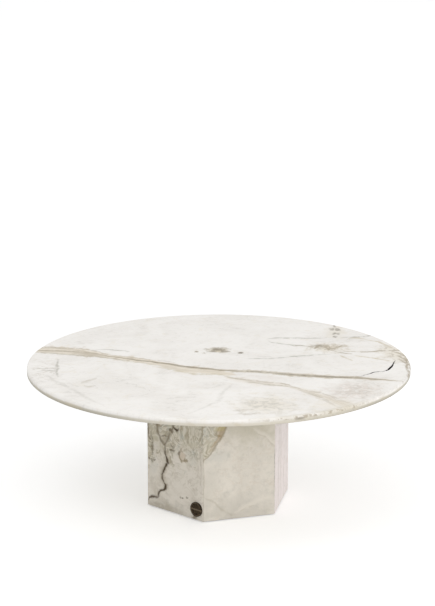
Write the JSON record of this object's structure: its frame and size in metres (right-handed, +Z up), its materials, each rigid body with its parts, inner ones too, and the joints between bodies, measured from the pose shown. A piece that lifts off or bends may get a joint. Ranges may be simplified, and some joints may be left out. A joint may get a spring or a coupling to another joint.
{
  "type": "round cocktail table",
  "caption": "Round stone cocktail table: a thin disc top with a rounded rim on a hollow faceted pedestal of mitred stone panels, with screw levelling feet hidden underneath.",
  "frame": {"origin": "on the floor under the centre of the round top", "axes": "+Z up; -Y to the front, square to the pedestal's front panel; +X to the right, through a corner of the pedestal"},
  "size_m": [1.1998, 1.2, 0.45],
  "materials": {
    "top_stone": "honed white marble with beige and grey veins",
    "panel_stone": "honed beige-grey marble with dark veins",
    "bronze": "dark bronze patina",
    "plywood": "raw birch plywood",
    "timber": "raw softwood",
    "plated_steel": "zinc-plated steel",
    "brass": "turned brass",
    "clear_rubber": "clear silicone",
    "foot_plastic": "black nylon"
  },
  "bodies": {
    "table": {"top_slab": "top_stone", "medallion": "bronze", "upper_bulkhead": "plywood", "lower_bulkhead": "plywood", "top_inserts": "brass", "top_washers": "plated_steel", "top_bolts": "plated_steel", "bumpers": "clear_rubber", "foot_nuts": "plated_steel", "panel_front": "panel_stone", "panel_front_right": "panel_stone", "panel_back_right": "panel_stone", "panel_back": "panel_stone", "panel_back_left": "panel_stone", "panel_front_left": "panel_stone", "corner_post_right": "timber", "corner_post_back_right": "timber", "corner_post_back_left": "timber", "corner_post_left": "timber", "corner_post_front_left": "timber", "corner_post_front_right": "timber"},
    "foot_right": {"foot_pad_right": "foot_plastic"},
    "stem_right": {"foot_stem_right": "plated_steel"},
    "foot_back_right": {"foot_pad_back_right": "foot_plastic"},
    "stem_back_right": {"foot_stem_back_right": "plated_steel"},
    "foot_back_left": {"foot_pad_back_left": "foot_plastic"},
    "stem_back_left": {"foot_stem_back_left": "plated_steel"},
    "foot_left": {"foot_pad_left": "foot_plastic"},
    "stem_left": {"foot_stem_left": "plated_steel"},
    "foot_front_left": {"foot_pad_front_left": "foot_plastic"},
    "stem_front_left": {"foot_stem_front_left": "plated_steel"},
    "foot_front_right": {"foot_pad_front_right": "foot_plastic"},
    "stem_front_right": {"foot_stem_front_right": "plated_steel"}
  },
  "joints": [
    {"name": "foot_slide_right", "type": "slide", "parent": "table", "child": "foot_right", "axis": [0, 0, -1], "range_m": [0, 0.012]},
    {"name": "stem_turn_right", "type": "hinge", "parent": "foot_right", "child": "stem_right", "pos_m": [0.16491, 0, 0.007], "axis": [0, 0, -1], "range_deg": [0, 2880]},
    {"name": "foot_slide_back_right", "type": "slide", "parent": "table", "child": "foot_back_right", "axis": [0, 0, -1], "range_m": [0, 0.012]},
    {"name": "stem_turn_back_right", "type": "hinge", "parent": "foot_back_right", "child": "stem_back_right", "pos_m": [0.08245, 0.14281, 0.007], "axis": [0, 0, -1], "range_deg": [0, 2880]},
    {"name": "foot_slide_back_left", "type": "slide", "parent": "table", "child": "foot_back_left", "axis": [0, 0, -1], "range_m": [0, 0.012]},
    {"name": "stem_turn_back_left", "type": "hinge", "parent": "foot_back_left", "child": "stem_back_left", "pos_m": [-0.08245, 0.14281, 0.007], "axis": [0, 0, -1], "range_deg": [0, 2880]},
    {"name": "foot_slide_left", "type": "slide", "parent": "table", "child": "foot_left", "axis": [0, 0, -1], "range_m": [0, 0.012]},
    {"name": "stem_turn_left", "type": "hinge", "parent": "foot_left", "child": "stem_left", "pos_m": [-0.16491, 0, 0.007], "axis": [0, 0, -1], "range_deg": [0, 2880]},
    {"name": "foot_slide_front_left", "type": "slide", "parent": "table", "child": "foot_front_left", "axis": [0, 0, -1], "range_m": [0, 0.012]},
    {"name": "stem_turn_front_left", "type": "hinge", "parent": "foot_front_left", "child": "stem_front_left", "pos_m": [-0.08245, -0.14281, 0.007], "axis": [0, 0, -1], "range_deg": [0, 2880]},
    {"name": "foot_slide_front_right", "type": "slide", "parent": "table", "child": "foot_front_right", "axis": [0, 0, -1], "range_m": [0, 0.012]},
    {"name": "stem_turn_front_right", "type": "hinge", "parent": "foot_front_right", "child": "stem_front_right", "pos_m": [0.08245, -0.14281, 0.007], "axis": [0, 0, -1], "range_deg": [0, 2880]}
  ],
  "couplings": [
    {"joint": "stem_turn_right", "follows": "foot_slide_right", "rad_per_m": 4188.8},
    {"joint": "stem_turn_back_right", "follows": "foot_slide_back_right", "rad_per_m": 4188.8},
    {"joint": "stem_turn_back_left", "follows": "foot_slide_back_left", "rad_per_m": 4188.8},
    {"joint": "stem_turn_left", "follows": "foot_slide_left", "rad_per_m": 4188.8},
    {"joint": "stem_turn_front_left", "follows": "foot_slide_front_left", "rad_per_m": 4188.8},
    {"joint": "stem_turn_front_right", "follows": "foot_slide_front_right", "rad_per_m": 4188.8}
  ]
}
